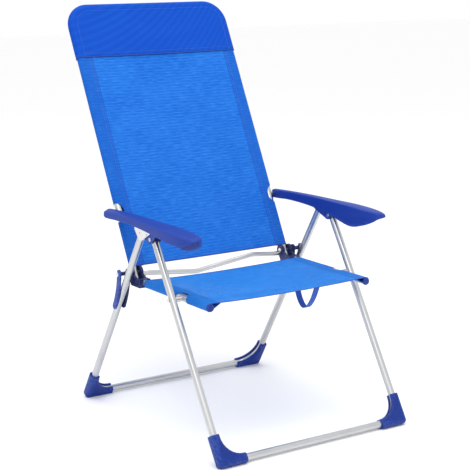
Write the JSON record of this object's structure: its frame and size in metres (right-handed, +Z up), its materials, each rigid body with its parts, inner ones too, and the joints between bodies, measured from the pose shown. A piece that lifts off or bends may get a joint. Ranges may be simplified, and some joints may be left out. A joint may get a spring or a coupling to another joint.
{
  "type": "beach chair",
  "caption": "Folding high-back beach chair: aluminium tube frames, stretched mesh seat and back, head cover, plastic armrests, corner feet and release levers.",
  "frame": {"origin": "centre of the footprint, on the floor", "axes": "+Z up, -Y the way the sitter faces, +X the sitter's left"},
  "size_m": [0.6364, 0.8469, 1.0913],
  "materials": {
    "mesh_cloth": "open PVC-coated weave",
    "hood_cloth": "double layer weave",
    "webbing": "woven strap",
    "aluminium_tube": "satin",
    "plated_fastener": "zinc plated",
    "bracket_metal": "satin",
    "blue_plastic": "fine grain",
    "dark_blue_plastic": "fine grain"
  },
  "bodies": {
    "seat": {"seat_rail_left": "aluminium_tube", "seat_rail_right": "aluminium_tube", "seat_end_cap_left": "blue_plastic", "seat_end_cap_right": "blue_plastic", "hinge_clevis_left": "dark_blue_plastic", "hinge_clevis_right": "dark_blue_plastic", "hinge_bolt_left": "plated_fastener", "hinge_bolt_right": "plated_fastener", "catch_spacer_left": "dark_blue_plastic", "catch_spacer_right": "dark_blue_plastic", "seat_leg_bolt_left": "plated_fastener", "seat_leg_bolt_right": "plated_fastener", "seat_leg_spacer_left": "aluminium_tube", "seat_leg_spacer_right": "aluminium_tube", "seat_front_crossbar": "aluminium_tube", "seat_rear_crossbar": "aluminium_tube", "seat_sling": "mesh_cloth", "closure_strap": "webbing"},
    "back": {"back_frame_tube": "aluminium_tube", "back_sling": "mesh_cloth", "head_cover": "hood_cloth", "arm_bolt_left": "plated_fastener", "arm_bolt_right": "plated_fastener", "arm_spacer_left": "dark_blue_plastic", "arm_spacer_right": "dark_blue_plastic"},
    "armrests": {"armrest_left": "blue_plastic", "armrest_right": "blue_plastic", "leg_bracket_left": "bracket_metal", "leg_bracket_right": "bracket_metal", "front_leg_rivet_left": "plated_fastener", "front_leg_rivet_right": "plated_fastener", "rear_leg_rivet_left": "plated_fastener", "rear_leg_rivet_right": "plated_fastener"},
    "front_legs": {"front_leg_frame": "aluminium_tube", "front_foot_left": "blue_plastic", "front_foot_right": "blue_plastic"},
    "rear_legs": {"rear_leg_frame": "aluminium_tube", "rear_foot_left": "blue_plastic", "rear_foot_right": "blue_plastic"},
    "catch_lever_left": {"catch_lever_inner_left": "dark_blue_plastic", "catch_lever_outer_left": "dark_blue_plastic"},
    "catch_lever_right": {"catch_lever_inner_right": "dark_blue_plastic", "catch_lever_outer_right": "dark_blue_plastic"}
  },
  "joints": [
    {"name": "back_fold", "type": "hinge", "parent": "seat", "child": "back", "pos_m": [0, 0.0637, 0.398], "axis": [1, 0, 0], "range_deg": [-26, 98]},
    {"name": "front_leg_fold", "type": "hinge", "parent": "seat", "child": "front_legs", "pos_m": [0, -0.1825, 0.377], "axis": [1, 0, 0], "range_deg": [-26, 98]},
    {"name": "armrest_fold", "type": "hinge", "parent": "back", "child": "armrests", "pos_m": [0, 0.1447, 0.542], "axis": [1, 0, 0], "range_deg": [-98, 26]},
    {"name": "rear_leg_fold", "type": "hinge", "parent": "armrests", "child": "rear_legs", "pos_m": [0, -0.055, 0.546], "axis": [1, 0, 0], "range_deg": [-10.5, 39]},
    {"name": "catch_left_turn", "type": "hinge", "parent": "seat", "child": "catch_lever_left", "pos_m": [0, 0.0637, 0.398], "axis": [1, 0, 0], "range_deg": [0, 35]},
    {"name": "catch_right_turn", "type": "hinge", "parent": "seat", "child": "catch_lever_right", "pos_m": [0, 0.0637, 0.398], "axis": [1, 0, 0], "range_deg": [0, 35]}
  ],
  "couplings": [
    {"joint": "front_leg_fold", "follows": "back_fold", "ratio": 1},
    {"joint": "armrest_fold", "follows": "back_fold", "ratio": -1},
    {"joint": "rear_leg_fold", "follows": "back_fold", "ratio": 0.395}
  ]
}
